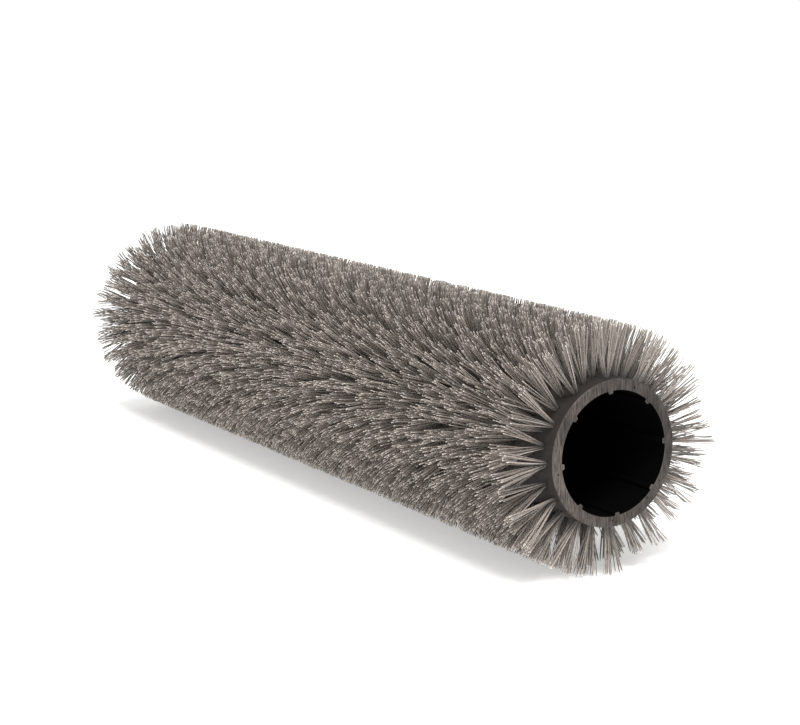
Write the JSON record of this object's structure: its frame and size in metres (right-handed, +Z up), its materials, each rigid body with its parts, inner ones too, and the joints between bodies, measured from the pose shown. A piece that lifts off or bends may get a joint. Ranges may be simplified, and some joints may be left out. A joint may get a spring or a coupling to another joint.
{
  "type": "cylindrical sweeper brush",
  "caption": "Cylindrical brush roller for a carpet and floor sweeper: a keyed tube core with helical rows of stiff grey bristle tufts.",
  "frame": {"origin": "on the brush's axis, at the middle of the core, which is the centre of the bounding box", "axes": "+Y along the axis from the near end face to the far one, +Z up, +X to the right"},
  "size_m": [0.2032, 0.8, 0.2032],
  "materials": {
    "core": "dark brown-grey moulded plastic, semi-matte, saw-cut end faces",
    "bristle": "warm grey grit-filled nylon monofilament, pale cut tips"
  },
  "bodies": {
    "root": {"core_tube": "core", "tuft_row_01": "bristle", "tuft_row_02": "bristle", "tuft_row_03": "bristle", "tuft_row_04": "bristle", "tuft_row_05": "bristle", "tuft_row_06": "bristle", "tuft_row_07": "bristle", "tuft_row_08": "bristle", "tuft_row_09": "bristle", "tuft_row_10": "bristle", "tuft_row_11": "bristle", "tuft_row_12": "bristle", "tuft_row_13": "bristle", "tuft_row_14": "bristle", "tuft_row_15": "bristle", "tuft_row_16": "bristle", "tuft_row_17": "bristle", "tuft_row_18": "bristle", "tuft_row_19": "bristle", "tuft_row_20": "bristle", "tuft_row_21": "bristle", "tuft_row_22": "bristle", "tuft_row_23": "bristle", "tuft_row_24": "bristle"}
  },
  "joints": []
}
